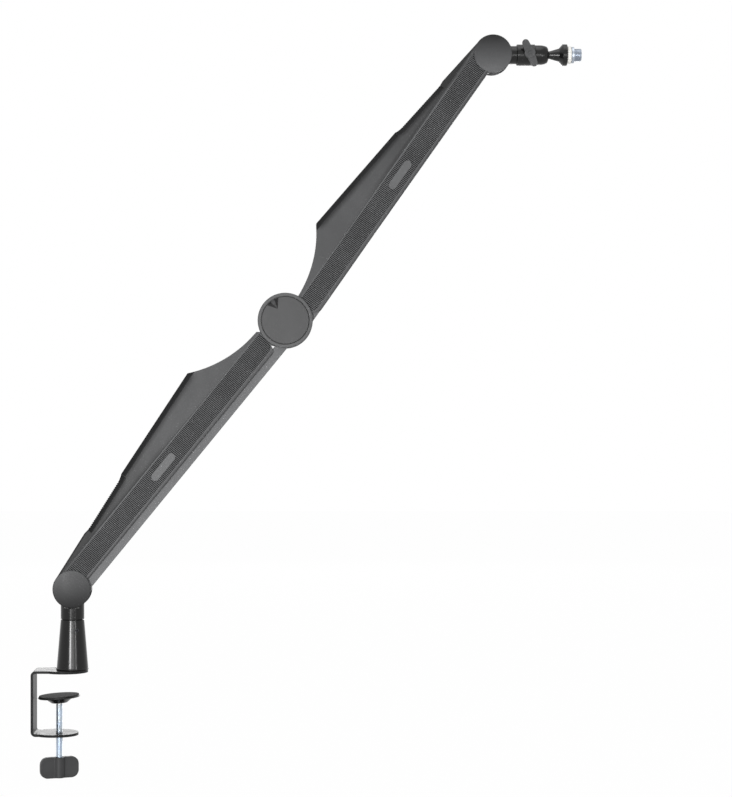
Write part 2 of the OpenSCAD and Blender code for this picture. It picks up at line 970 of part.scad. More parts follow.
module upper_shell() upper_place() arm_shell();
module upper_cable_cover() upper_place() cable_cover();
module upper_panel_rear() upper_place() panel_rear();
module upper_panel_front() mirror([0, 1, 0]) upper_panel_rear();
module upper_badge_rear() upper_place() badge_rear();
module upper_badge_front() mirror([0, 1, 0]) upper_badge_rear();
module upper_spring() upper_place() arm_spring();
module upper_spring_pin() upper_place() spring_pin();
module upper_link() at(upper_shift) upper_place() second_link(link_low);

// Hub core: a boss between the two plates, with an arm to each second link
lower_link_at = lower_hub_at + lower_shift;
upper_link_at = upper_hub_at + upper_shift;
hub_screw_r = 2.5;
hub_screw_depth = 7;

module core_arm(p, half) {
    d = p - hub_at;
    at(hub_at)
        rotate([0, -atan2(d[1], d[0]), 0])
            translate([0, -half, -web_h + 0.5])
                cube([norm(d), 2 * half, 2 * web_h - 1]);
    at(p)
        bar(side_boss_r, -tongue_half, tongue_half);
}

module hub_core() {
    color(soft_black)
        difference() {
            union() {
                at(hub_at)
                    bar(core_boss_r, -disc_in, disc_in);
                core_arm(lower_link_at, web_half);
                core_arm(upper_link_at, neck_half);
            }
            for (p = [lower_link_at, upper_link_at])
                at(p)
                    bar(link_pin_d / 2 + seat_gap, -2 * disc_in, 2 * disc_in);
            at(hub_at)
                both_sides()
                    bar(hub_screw_r + seat_gap, disc_in - hub_screw_depth - 0.5, disc_in + 1);
        }
}

// Finger notch in the hub: a pit that starts at an apex and gets deeper and
// wider towards the cap's rim, with a floor and two sloping sides
notch_angle = 123.5;
notch_apex_r = 16.7;
notch_half = 9.9;
notch_floor_half = 2.9;
notch_depth = 3.2;
notch_run = hub_cap_d / 2 - notch_apex_r;
notch_top = disc_out + 0.5;
notch_big = 60;

module notch_side() {
    turn = atan(notch_half / notch_run);
    across_run = notch_run * sin(turn) - notch_floor_half * cos(turn);
    translate([notch_apex_r, notch_top, 0])
        rotate([0, -turn, 0])
            rotate([-atan(notch_depth / across_run), 0, 0])
                translate([-notch_big, 0, -notch_big])
                    cube(2 * notch_big);
}

module notch_cut() {
    at(hub_at)
        rotate([0, -notch_angle, 0])
            intersection() {
                bar(hub_cap_d / 2 + 0.2, disc_in, 2 * disc_out);
                translate([notch_apex_r, notch_top, 0])
                    rotate([0, 0, -atan(notch_depth / notch_run)])
                        translate([-1, 0, -notch_big])
                            cube(2 * notch_big);
                notch_side();
                mirror([0, 0, 1])
                    notch_side();
            }
}

// Hub plate with a seat for its cap, blind holes for the stub pins and a screw
cap_seat = disc_out - 1.4;
cap_out = disc_out + 0.4;
cap_groove = 0.8;
stub_end = disc_in + 1.3;
screw_head_r = 4.8;
screw_head_h = 1.2;

module hub_plate_rear() {
    color(graphite)
        difference() {
            at(hub_at)
                rotate([-90, 0, 0])
                    rotate_extrude($fn = 144)
                        polygon([
                            [0, disc_in],
                            [hub_d / 2, disc_in],
                            [hub_d / 2, disc_out - 0.8],
                            [hub_d / 2 - 0.8, disc_out],
                            [hub_cap_d / 2 + cap_groove, disc_out],
                            [hub_cap_d / 2 + cap_groove, cap_seat],
                            [0, cap_seat]
                        ]);
            for (p = [lower_hub_at, upper_hub_at])
                at(p)
                    bar(stub_pin_d / 2 + seat_gap, 0, stub_end + seat_gap);
            at(hub_at) {
                bar(hub_screw_r + seat_gap, 0, 2 * disc_out);
                bar(screw_head_r + seat_gap, cap_seat - screw_head_h, 2 * disc_out);
            }
            notch_cut();
        }
}

module hub_plate_front() {
    mirror([0, 1, 0])
        hub_plate_rear();
}

// Hub cap, with the same notch
module cap_disc() {
    rotate([-90, 0, 0])
        rotate_extrude($fn = 144)
            polygon([
                [0, cap_seat],
                [hub_cap_d / 2, cap_seat],
                [hub_cap_d / 2, cap_out - 0.5],
                [hub_cap_d / 2 - 0.5, cap_out],
                [0, cap_out]
            ]);
}

module hub_cap_rear() {
    color(graphite)
        difference() {
            at(hub_at)
                cap_disc();
            notch_cut();
        }
}

module hub_cap_front() {
    mirror([0, 1, 0])
        hub_cap_rear();
}

module hub_stub_pins() {
    color(steel)
        for (p = [lower_hub_at, upper_hub_at])
            at(p)
                both_sides()
                    bar(stub_pin_d / 2, shell_in + side_play, stub_end);
}

module hub_link_pins() {
    link_pin(lower_link_at);
    link_pin(upper_link_at);
}

module hub_screws() {
    color(zinc)
        at(hub_at)
            both_sides()
                difference() {
                    union() {
                        bar(hub_screw_r, disc_in - hub_screw_depth, cap_seat);
                        bar(screw_head_r, cap_seat - screw_head_h, cap_seat);
                    }
                    translate([0, cap_seat - 0.8, 0])
                        rotate([-90, 0, 0])
                            cylinder(d = hex_key_d, h = 4, $fn = 6);
                }
}

// Microphone head: tongue, neck and the spigot that the housing turns on
housing_x = neck_end + 0.2;
neck_spigot_r = 5.5;
neck_spigot_l = 11.5;
ball_x = housing_x + ball_at;

module along_x(x) {
    translate([head_at[0] + x, 0, head_at[1]])
        rotate([0, 90, 0])
            children();
}

module head_block() {
    color(gloss_black)
        difference() {
            union() {
                tongue(head_at, upper_shift, upper_offset_angle);
                at(head_at)
                    translate([0, -neck_half, -9])
                        cube([neck_start + 1, 2 * neck_half, 18]);
                along_x(neck_start)
                    cylinder(d = neck_d, h = neck_end - neck_start);
                along_x(neck_end - 1)
                    cylinder(r = neck_spigot_r, h = neck_spigot_l + 1);
            }
            at(head_at)
                bar(main_pin_d / 2 + seat_gap, -2 * disc_in, 2 * disc_in);
            at(head_at + upper_shift)
                bar(link_pin_d / 2 + seat_gap, -2 * disc_in, 2 * disc_in);
        }
}

module head_pin() pivot_pin(head_at);
module head_link_pin() link_pin(head_at + upper_shift);
module head_washers() washer_pair(head_at);
module head_disc_front() disc_front(head_at);
module head_disc_rear() disc_rear(head_at);

// Ball housing: a cylinder with a rounded nose round the ball's seat
seat_play = 0.2;
seat_wall = 0.8;
seat_r = ball_d / 2 + seat_play + seat_wall;
socket_r = seat_r + seat_play;
nose_end_r = 8.5;
nose_round_at = housing_l - 11;
nose_steps = 8;
wing_x = 45.6;
wing_shank_r = 2.5;
wing_shank_end = 3;

nose_points = [
    for (i = [0:nose_steps])
        let (t = i / nose_steps)
        [
            lerp(nose_end_r, nose_d / 2, sqrt(1 - t * t)),
            nose_round_at + (housing_l - nose_round_at) * t
        ]
];

module ball_housing() {
    color(gloss_black)
        difference() {
            along_x(housing_x)
                rotate_extrude()
                    polygon(concat(
                        [
                            [0, 0],
                            [housing_d / 2 - 0.5, 0],
                            [housing_d / 2, 0.5],
                            [housing_d / 2, nose_start - 0.5],
                            [nose_d / 2, nose_start]
                        ],
                        nose_points,
                        [[0, housing_l]]
                    ));
            along_x(ball_x)
                sphere(r = socket_r);
            along_x(housing_x - 1)
                cylinder(r = neck_spigot_r + run_gap, h = neck_spigot_l + 1.3);
            at(head_at + [wing_x, 0])
                bar(wing_shank_r + run_gap, -housing_d, -wing_shank_end + 0.5);
        }
}

seat_back = 7;
seat_front = 5.2;

module ball_seat() {
    color(off_white)
        difference() {
            intersection() {
                along_x(ball_x)
                    sphere(r = seat_r);
                along_x(ball_x - seat_back)
                    cylinder(r = 2 * seat_r, h = seat_back + seat_front);
            }
            along_x(ball_x)
                sphere(r = seat_r - seat_wall);
        }
}

// Ball, waist, cone and flange in one piece, bored for the stud
flange_t = 5.5;
stem_waist_l = 9.2;
stem_cone_r = 8.25;
stud_d = 9.5;
stud_depth = 12;

module ball_stem() {
    color(gloss_black)
        difference() {
            union() {
                along_x(ball_x)
                    sphere(d = ball_d);
                along_x(ball_x)
                    rotate_extrude()
                        polygon([
                            [0, 0],
                            [stem_d / 2, 0],
                            [stem_d / 2, stem_waist_l],
                            [stem_cone_r, stem_l - flange_t - 4.6],
                            [flange_d / 2, stem_l - flange_t],
                            [flange_d / 2, stem_l - 0.5],
                            [flange_d / 2 - 0.5, stem_l],
                            [0, stem_l]
                        ]);
            }
            along_x(ball_x + stem_l - stud_depth)
                cylinder(d = stud_d + 2 * seat_gap, h = 2 * stud_depth);
        }
}

stem_front_x = ball_x + stem_l;
adapter_x = stem_front_x + mic_washer_t + 0.4;

module stem_washer() {
    color(off_white)
        difference() {
            along_x(stem_front_x)
                cylinder(d = mic_washer_d, h = mic_washer_t);
            along_x(stem_front_x - 1)
                cylinder(d = stud_d + 2 * seat_gap, h = mic_washer_t + 2);
        }
}

stud_end_x = adapter_x + adapter_ring_t + mic_thread_l - 2;

module stem_stud() {
    color(steel)
        along_x(stem_front_x - stud_depth + seat_gap)
            cylinder(d = stud_d, h = stud_end_x - stem_front_x + stud_depth - seat_gap);
}

module thread_adapter() {
    color(steel)
        difference() {
            union() {
                along_x(adapter_x)
                    cylinder(d = adapter_ring_d, h = adapter_ring_t);
                along_x(adapter_x)
                    cylinder(d = mic_thread_d, h = adapter_ring_t + mic_thread_l);
            }
            along_x(adapter_x - 1)
                cylinder(d = stud_d + 2 * seat_gap, h = adapter_ring_t + mic_thread_l + 2);
        }
}

// Wing screw that locks the ball, on the housing's front side
wing_boss_r = 6.7;
wing_tip_r = 4.2;
wing_back = housing_d / 2 + 0.3;
wing_front = wing_back + 6.5;
blade_back = wing_back + 1.8;
blade_front = wing_back + 5.6;

module wing_screw() {
    tip = wing_l / 2 - wing_tip_r;
    color(soft_black)
        at(head_at + [wing_x, 0])
            difference() {
                union() {
                    bar(wing_shank_r, -wing_front, -wing_shank_end);
                    bar(wing_boss_r, -wing_front, -wing_back);
                    rotate([0, -wing_tilt, 0])
                        for (s = [-1, 1])
                            slab(-blade_front, -blade_back)
                                hull() {
                                    circle(r = wing_boss_r - 1, $fn = hull_fn);
                                    translate([s * tip, 0])
                                        circle(r = wing_tip_r, $fn = hull_fn);
                                }
                }
                bar(2.6, -2 * wing_front, -wing_front + 0.8);
            }
}

// Pad, its rubber face and the ball that joins it to the screw
pad_ball_r = 5;
pad_ball_flat = 4;
pad_ball_drop = 7.2;
pad_ball_z = -pad_drop - pad_ball_drop;
pad_ball_at = [-screw_back, 0, pad_ball_z];
screw_tip_d = 5.5;
screw_tip_top = 2;

module pad_place() {
    clamp_place()
        translate(pad_ball_at)
            rotate([0, -pad_lean, 0])
                children();
}

module pad_retainer() {
    color(off_white)
        clamp_place()
            translate(pad_ball_at)
                difference() {
                    intersection() {
                        sphere(r = pad_ball_r);
                        cube([4 * pad_ball_r, 4 * pad_ball_r, 2 * pad_ball_flat], center = true);
                    }
                    translate([0, 0, -pad_ball_r])
                        cylinder(d = screw_tip_d + 2 * run_gap, h = pad_ball_r + screw_tip_top + 0.2);
                }
}

// Half section of the pad, over and under its ball's centre
pad_face = pad_ball_drop - rubber_t;
pad_edge = 0.8;
pad_rim_low = pad_face - pad_rim + rubber_t;
pad_dish_r = 17.7;
pad_hub_r = 10;
pad_hub_low = 2.5;

module clamp_pad() {
    color(gloss_black)
        pad_place()
            difference() {
                rotate_extrude()
                    polygon([
                        [0, pad_face],
                        [pad_d / 2 - pad_edge, pad_face],
                        [pad_d / 2, pad_face - pad_edge],
                        [pad_d / 2, pad_rim_low],
                        [pad_d / 2 - pad_edge, pad_rim_low - pad_edge],
                        [pad_dish_r, pad_rim_low - pad_edge - 0.4],
                        [pad_hub_r, -pad_hub_low],
                        [0, -pad_hub_low]
                    ]);
                sphere(r = pad_ball_r + 0.2);
            }
}

module pad_rubber() {
    color(soft_black)
        pad_place()
            translate([0, 0, pad_face])
                cylinder(r = pad_d / 2 - 1.2, h = rubber_t);
}

// Clamp screw with its turned-down tip, and the winged knob on its lower end
knob_z = -knob_drop - knob_h;
knob_hole = 8;
screw_low_z = knob_z + knob_hole;
screw_shoulder_z = pad_ball_z - pad_ball_flat - 0.2;

module clamp_screw() {
    color(zinc)
        clamp_place()
            translate([-screw_back, 0, screw_low_z]) {
                cylinder(d = clamp_screw_d, h = screw_shoulder_z - screw_low_z);
                cylinder(d = screw_tip_d, h = pad_ball_z + screw_tip_top - screw_low_z);
            }
}

knob_corner = 9.4;
knob_boss_low = 0.3;

module knob_outline() {
    hull()
        for (x = [-1, 1], z = [0, 1])
            translate([x * (knob_w / 2 - knob_corner), lerp(knob_corner, knob_h - knob_corner, z)])
                circle(r = knob_corner, $fn = hull_fn);
}

module clamp_knob() {
    color(soft_black)
        clamp_place()
            translate([-screw_back, 0, knob_z])
                rotate([0, 0, knob_turn])
                    difference() {
                        union() {
                            across(knob_t / 2)
                                knob_outline();
                            translate([0, 0, knob_boss_low])
                                cylinder(d = knob_boss_d, h = knob_h - 2 * knob_boss_low);
                        }
                        translate([0, 0, knob_hole - seat_gap])
                            cylinder(d = clamp_screw_d + 2 * seat_gap, h = knob_h);
                    }
}

clamp_frame();
post_bolt();
post_cone();
post_bush();
grub_screw();
swivel_washer();
swivel_head();
swivel_spigot();
base_pin();
base_link_pin();
base_washers();
base_disc_front();
base_disc_rear();
lower_shell();
lower_cable_cover();
lower_panel_front();
lower_panel_rear();
lower_badge_front();
lower_badge_rear();
lower_spring();
lower_spring_pin();
lower_link();
hub_core();
hub_plate_front();
hub_plate_rear();
hub_cap_front();
hub_cap_rear();
hub_stub_pins();
hub_link_pins();
hub_screws();
upper_shell();
upper_cable_cover();
upper_panel_front();
upper_panel_rear();
upper_badge_front();
upper_badge_rear();
upper_spring();
upper_spring_pin();
upper_link();
head_block();
head_pin();
head_link_pin();
head_washers();
head_disc_front();
head_disc_rear();
ball_housing();
ball_seat();
ball_stem();
stem_washer();
stem_stud();
thread_adapter();
wing_screw();
pad_retainer();
clamp_pad();
pad_rubber();
clamp_screw();
clamp_knob();
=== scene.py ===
"""Looks of the desk-clamped microphone boom arm: finishes, threads and moulded parts."""

import math

import bmesh
import bpy
from mathutils import Matrix, Vector


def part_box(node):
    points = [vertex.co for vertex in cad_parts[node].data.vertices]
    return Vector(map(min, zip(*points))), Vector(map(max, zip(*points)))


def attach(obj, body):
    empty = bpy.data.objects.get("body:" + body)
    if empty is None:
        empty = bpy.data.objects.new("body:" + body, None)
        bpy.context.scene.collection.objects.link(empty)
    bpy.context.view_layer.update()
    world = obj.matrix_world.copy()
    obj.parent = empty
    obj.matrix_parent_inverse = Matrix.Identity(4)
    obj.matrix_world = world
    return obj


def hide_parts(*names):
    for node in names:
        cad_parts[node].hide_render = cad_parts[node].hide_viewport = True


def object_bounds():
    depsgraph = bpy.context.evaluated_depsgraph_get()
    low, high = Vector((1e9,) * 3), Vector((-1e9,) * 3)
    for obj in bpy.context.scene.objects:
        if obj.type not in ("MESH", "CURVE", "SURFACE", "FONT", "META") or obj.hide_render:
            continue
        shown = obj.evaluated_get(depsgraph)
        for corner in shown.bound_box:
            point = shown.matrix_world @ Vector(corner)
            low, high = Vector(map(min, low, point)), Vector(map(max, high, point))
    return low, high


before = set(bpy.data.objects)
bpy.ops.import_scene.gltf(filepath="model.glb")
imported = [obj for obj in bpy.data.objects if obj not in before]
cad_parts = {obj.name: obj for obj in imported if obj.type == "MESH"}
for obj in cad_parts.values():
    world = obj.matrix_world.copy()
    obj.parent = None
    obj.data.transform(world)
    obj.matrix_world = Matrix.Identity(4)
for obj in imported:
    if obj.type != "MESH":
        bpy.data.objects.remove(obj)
cad_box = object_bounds()

MM = 0.001
INCH = 25.4 * MM
WHITE = (1.0, 1.0, 1.0, 1.0)


# Camera, at the photograph's viewing angle. The focal length, and the column
# and row that the camera points at, are in pixels of the photograph

IMAGE_WIDTH = 732
IMAGE_HEIGHT = 797
SENSOR = 36.0
CAMERA_AT = Vector((0.267, -2.700, 0.3165))
FOCAL_PIXELS = 2148.8
AXIS_COLUMN = 285.0
AXIS_ROW = 420.0
LEVEL_VIEW = (math.radians(90), 0, 0)
FAR_CLIP = 50


def place_camera():
    data = bpy.data.cameras.new("camera")
    camera = bpy.data.objects.new("camera", data)
    bpy.context.scene.collection.objects.link(camera)
    camera.location = CAMERA_AT
    camera.rotation_euler = LEVEL_VIEW
    data.sensor_width = SENSOR
    data.lens = FOCAL_PIXELS * SENSOR / IMAGE_HEIGHT
    data.shift_x = (IMAGE_WIDTH / 2 - AXIS_COLUMN) / IMAGE_HEIGHT
    data.shift_y = (AXIS_ROW - IMAGE_HEIGHT / 2) / IMAGE_HEIGHT
    data.clip_end = FAR_CLIP
    bpy.context.scene.camera = camera


# Shader maths: sockets that add up like numbers

class Wire:
    """One output of a node, used in sums, products and comparisons."""

    def __init__(self, nodes, socket):
        self.nodes = nodes
        self.socket = socket

    def output(self, name):
        return Wire(self.nodes, self.socket.node.outputs[name])

    def _math(self, operation, *values):
        return self.nodes.add("Math", {"operation": operation}, dict(enumerate(values)))

    def __add__(self, other):
        return self._math("ADD", self, other)

    __radd__ = __add__

    def __mul__(self, other):
        return self._math("MULTIPLY", self, other)

    __rmul__ = __mul__

    def __sub__(self, other):
        return self._math("SUBTRACT", self, other)

    def __rsub__(self, other):
        return self._math("SUBTRACT", other, self)

    def __pow__(self, other):
        return self._math("POWER", self, other)

    def most(self, other):
        return self._math("MAXIMUM", self, other)

    def size(self):
        return self._math("ABSOLUTE", self)

    def step(self, low, high):
        """0 below low and 1 above high, with a smooth rise between them."""
        settings = {"interpolation_type": "SMOOTHSTEP"}
        return self.nodes.add("MapRange", settings, {0: self, 1: low, 2: high})

    def between(self, low, high, soft):
        """1 between low and high, with soft ends."""
        return self.step(low - soft, low) * (1 - self.step(high, high + soft))

    def swing(self, amount):
        """A pattern of 0 to 1 as a change up or down, by half an amount each way."""
        return (self - 0.5) * amount

    def shading(self, amount):
        """A pattern of 0 to 1 as a factor round 1, by half an amount each way."""
        return self * amount + (1 - amount / 2)


class Nodes:
    """A node tree that is filled by one method."""

    # Sockets of a Mix node's colour kind, by number since other kinds share the names
    MIX_AMOUNT = 0
    MIX_LOW = 6
    MIX_HIGH = 7
    MIX_RESULT = 2

    BEVEL_SAMPLES = 6
    EDGE_TURN = (0.01, 0.22)
    CLOUD_CONTRAST = (0.3, 0.7)

    def __init__(self, tree):
        self.tree = tree
        tree.nodes.clear()

    def add(self, kind, settings=None, inputs=None):
        node = self.tree.nodes.new("ShaderNode" + kind)
        for name, value in (settings or {}).items():
            setattr(node, name, value)
        for name, value in (inputs or {}).items():
            if isinstance(value, Wire):
                self.tree.links.new(value.socket, node.inputs[name])
            else:
                node.inputs[name].default_value = value
        return Wire(self, node.outputs[0]) if node.outputs else None

    def mix(self, amount, low, high):
        """A colour between two colours."""
        inputs = {self.MIX_AMOUNT: amount, self.MIX_LOW: low, self.MIX_HIGH: high}
        return self.add("Mix", {"data_type": "RGBA"}, inputs).output(self.MIX_RESULT)

    def tinted(self, value, tint):
        """A value as a colour, with a slight tint."""
        return self.mix(value, (0.0, 0.0, 0.0, 1.0), (*tint, 1.0))

    def dot(self, first, second):
        """How far two directions agree."""
        made = self.add("VectorMath", {"operation": "DOT_PRODUCT"}, {0: first, 1: second})
        return made.output("Value")

    def along(self, direction, origin=(0.0, 0.0, 0.0)):
        """The distance in mm along a direction, from an origin."""
        where = self.add("TexCoord").output("Object")
        apart = self.add("VectorMath", {"operation": "SUBTRACT"}, {0: where, 1: origin})
        return self.dot(apart, tuple(direction)) * (1 / MM)

    def facing(self, direction):
        """How far the surface faces a direction or its opposite, 0 to 1."""
        normal = self.add("TexCoord").output("Normal")
        return self.dot(normal, tuple(direction)).size()

    def noise(self, scale, detail=2.0, stretch=None):
        """Noise with about scale features to the metre, drawn out by any stretch."""
        where = self.add("TexCoord").output("Object")
        if stretch:
            where = self.add("Mapping", inputs={0: where, "Scale": stretch})
        return self.add("TexNoise", inputs={0: where, "Scale": scale, "Detail": detail})

    def clouds(self, scale):
        """Patches of 0 and 1 with soft edges."""
        return self.noise(scale, 3).step(*self.CLOUD_CONTRAST)

    def smears(self):
        """Upright streaks of handling, as a change of the roughness."""
        return self.noise(90, 4, stretch=(1, 1, 0.3)).swing(0.14)

    def rounded(self, radius):
        """The surface normal with its sharp edges rounded off."""
        return self.add("Bevel", {"samples": self.BEVEL_SAMPLES}, {"Radius": radius})

    def edges(self, radius):
        """1 along sharp edges, 0 elsewhere."""
        normal = self.add("NewGeometry").output("Normal")
        return (1 - self.dot(self.rounded(radius), normal)).step(*self.EDGE_TURN)

    def bump(self, height, distance, normal):
        inputs = {"Height": height, "Distance": distance, "Normal": normal}
        return self.add("Bump", inputs=inputs)

    def surface(self, **sockets):
        """Ends the tree with a Principled shader."""
        inputs = {name.replace("_", " ").title(): value for name, value in sockets.items()}
        if "Specular Ior Level" in inputs:
            inputs["Specular IOR Level"] = inputs.pop("Specular Ior Level")
        shader = self.add("BsdfPrincipled", inputs=inputs)
        self.add("OutputMaterial", inputs={"Surface": shader})


def new_material(name):
    material = bpy.data.materials.new(name)
    material.use_nodes = True
    return material, Nodes(material.node_tree)


def grey(value, tint=(1.0, 1.0, 1.0)):
    return (value * tint[0], value * tint[1], value * tint[2], 1.0)


# Places of the pivots, and each arm's own frame: its hub pivot, the way along
# it and the way up across it

def polar(length, degrees):
    angle = math.radians(degrees)
    return Vector((length * math.cos(angle), 0.0, length * math.sin(angle)))


ACROSS = Vector((0.0, 1.0, 0.0))
SIDEWAYS = Vector((1.0, 0.0, 0.0))
UPRIGHT = Vector((0.0, 0.0, 1.0))
LINK_LENGTH = 400 * MM
LOWER_ANGLE = 50.9
UPPER_ANGLE = 54.75
HUB_PIVOT_R = 30 * MM
LOWER_PIVOT_ANGLE = 240
UPPER_PIVOT_ANGLE = 13.8
FOOT = Vector((0.0, 0.0, 104.7 * MM))
LOWER_HUB = FOOT + polar(LINK_LENGTH, LOWER_ANGLE)
HUB = LOWER_HUB - polar(HUB_PIVOT_R, LOWER_PIVOT_ANGLE)
UPPER_HUB = HUB + polar(HUB_PIVOT_R, UPPER_PIVOT_ANGLE)
HEAD = UPPER_HUB + polar(LINK_LENGTH, UPPER_ANGLE)
ARM_FRAMES = {
    "lower": (LOWER_HUB, polar(1, LOWER_ANGLE + 180), polar(1, LOWER_ANGLE + 90)),
    "upper": (UPPER_HUB, polar(1, UPPER_ANGLE), polar(1, UPPER_ANGLE + 90)),
}


# Outline of the arm in its own frame, in mm: u along it and v up across it

PEAK_U = 99
PEAK_V = 58.2
STEP_U = 248
STEP_V = 43.3
GRIP_U = 257
GRIP_V = 40.2
GRIP_SLOPE = 0.122
COVER_DEPTH = 6.5
PANEL_START = 4.4
PANEL_LOW = 4.5
PANEL_HIGH = 19.4
PANEL_CORNER = 10
LEDGE_V = 20.8
RIB_FOOT = 10.45
RIB_TOP = 10.95
DISC_R = 23.75
CAP_R = 29.2
NOTCH_ANGLE = 123.5


def fin_top(u):
    """Height of the fin's top edge past its peak."""
    first = PEAK_V - (u - PEAK_U) * ((PEAK_V - STEP_V) / (STEP_U - PEAK_U))
    second = GRIP_V - (u - GRIP_U) * GRIP_SLOPE
    return first + (second - first) * u.step(STEP_U, GRIP_U)


# Painted light of the arms, with places in mm: painted shade under the cable
# cover and in the corner above the ledge, the fin darker towards its far end,
# and painted highlights along the ribbed panel's rim and along the ledge.
# A REACH is where a mark starts and where it is full along the arm, and a BAND
# is where it is full across it. DARK, SHADING and HIGHLIGHT are how strong it
# is, and FACING is how far a surface faces across when it starts to count as
# the arm's side, and when it fully does. The painted shade under the cover is
# full down to the first FADE_DEPTH, and then dies away to the second

FLAT_FACING = (0.5, 0.9)
FADE_DEPTH = (COVER_DEPTH - 1, COVER_DEPTH + 7)
FADE_REACH = (92, 104)
FADE_SHADING = 0.75
FAR_REACH = (150, 330)
FAR_DARK = 0.42
LEDGE_RISE = 1
LEDGE_SOFT = 6
LEDGE_REACH = (130, 240)
LEDGE_SHADING = 0.5
RIM_BAND = (0.1, 0.8)
RIM_HIGHLIGHT = 0.55
LINE_BAND = (LEDGE_V - 0.6, LEDGE_V + 0.4)
LINE_REACH = (60, 240)
LINE_HIGHLIGHT = 0.6
LINE_LEAST = 0.08
LINE_SOFT = 0.4


def arm_painted_light(n, arm):
    """Painted shade and highlights of an arm, and its fin darker towards the far end: how much
    darker, and how much paler.
    """
    origin, along, up = ARM_FRAMES[arm]
    u = n.along(along, origin)
    v = n.along(up, origin)
    flat = n.facing(ACROSS).step(*FLAT_FACING)
    under_cover = fin_top(u) - v
    # Painted shade just under the cable cover
    under_cover_shade = (1 - under_cover.step(*FADE_DEPTH)) * u.step(*FADE_REACH)
    # The fin darker towards its far end, above the ledge
    far = u.step(*FAR_REACH) * v.step(LEDGE_V, LEDGE_V + 2 * LEDGE_RISE)
    # Painted shade in the corner above the ledge
    ledge_shade = v.between(LEDGE_V + LEDGE_RISE, LEDGE_V + 2 * LEDGE_RISE, LEDGE_SOFT)
    ledge_shade = ledge_shade * v.step(LEDGE_V, LEDGE_V + LEDGE_RISE) * u.step(*LEDGE_REACH)
    painted_darkening = (under_cover_shade * FADE_SHADING).most(far * FAR_DARK).most(ledge_shade * LEDGE_SHADING)
    # Painted highlight along the ribbed panel's rim
    inset_u = (PANEL_START + PANEL_CORNER - u).most(0)
    inset_v = (PANEL_CORNER - PANEL_LOW - v).most(0)
    outside = (inset_u * inset_u + inset_v * inset_v) ** 0.5 - PANEL_CORNER
    outside = outside.most(v - PANEL_HIGH)
    rim = outside.between(*RIM_BAND, LINE_SOFT)
    # Painted highlight along the ledge, strongest towards the far end
    ledge_highlight = v.between(*LINE_BAND, LINE_SOFT)
    painted_highlight = (rim * RIM_HIGHLIGHT).most(ledge_highlight * (u.step(*LINE_REACH) * LINE_HIGHLIGHT + LINE_LEAST))
    return painted_darkening * flat, painted_highlight * flat


# Finishes, with places in mm. A shade is the grey of a paint or plastic, 0 to
# 1. EDGE is what is added along sharp edges, DARK is how strong a dark mark is,
# SHADING is how strong a painted shade is, and FACING is how far a surface
# faces a way when a mark starts and is full

COOL = (0.985, 0.995, 1.02)
PAINT_EDGE = 0.35
# Grey of the ribs' crests, and of the painted shade in their grooves
RIB_CREST = 0.105
RIB_SHADED_VALLEY = 0.002
COVER_SHADE = 0.012
# How much paler the cover is painted low down, as painted shade of its top
COVER_PAINTED_LIGHT = 0.012
COVER_EDGE = 0.05
COVER_TURN = (COVER_DEPTH - 3, COVER_DEPTH + 1)
HUB_EDGE = 0.04
CAP_SEAM = 0.2
# Painted shade in the cap's groove and on the finger notch's walls and floor
GROOVE = (CAP_R + 0.4, CAP_R + 1.3)
GROOVE_SOFT = 0.1
GROOVE_SHADING = 0.85
NOTCH_WALL_FACING = (0.1, 0.3)
NOTCH_WALL_SHADING = 0.8
NOTCH_FLOOR_FACING = (0.1, 0.2)
NOTCH_FLOOR_SHADING = 0.15
ENAMEL_SHADE = 0.006
ENAMEL_EDGE = 0.04
TURNING_DARK = 0.72


def painted(name, shade, roughness, grain=1500.0, bump=0.02, specular=0.19, arm=None,
            painted_reflection=None):
    """Fine-textured paint, a little paler along worn edges; a painted reflection
    makes it paler or darker with the height over a place, and an arm's paint
    carries its painted shade and painted highlights."""
    material, n = new_material(name)
    fine = n.noise(grain, 3)
    worn = n.edges(0.5 * MM) * (n.clouds(260) * 0.6 + 0.4)
    value = n.clouds(22).shading(0.12) * shade * (1 + fine.swing(0.3))
    # An arm's painted shade and painted highlights, and its fin darker towards the far end
    if arm:
        painted_darkening, painted_highlight = arm_painted_light(n, arm)
        value = value * (1 - painted_darkening) + painted_highlight * shade
    # A painted reflection: paler or darker with the height over a place
    if painted_reflection:
        place, rise = painted_reflection
        value = value * (1 + n.along(UPRIGHT, place) * (rise / DISC_R))
    value = value + worn * PAINT_EDGE * shade
    n.surface(
        base_color=n.tinted(value, COOL),
        roughness=roughness + n.smears() - worn * 0.08,
        specular_ior_level=specular,
        normal=n.bump(fine, bump * MM, n.rounded(0.35 * MM)),
    )
    return material


def ribbed_panel():
    """Matt panel, with painted shade that darkens the grooves between the crests."""
    material, n = new_material("ribbed panel")
    fine = n.noise(1900, 3)
    crest = n.along(ACROSS).size().step(RIB_FOOT, RIB_TOP)
    # Painted shade in the grooves, gone towards the ribs' tops
    value = (RIB_SHADED_VALLEY + crest * (RIB_CREST - RIB_SHADED_VALLEY)) * n.clouds(30).shading(0.2)
    n.surface(
        base_color=n.tinted(value, COOL),
        roughness=0.55 + n.noise(140, 3).swing(0.15),
        specular_ior_level=0.08,
        normal=n.bump(fine, 0.02 * MM, n.rounded(0.2 * MM)),
    )
    return material


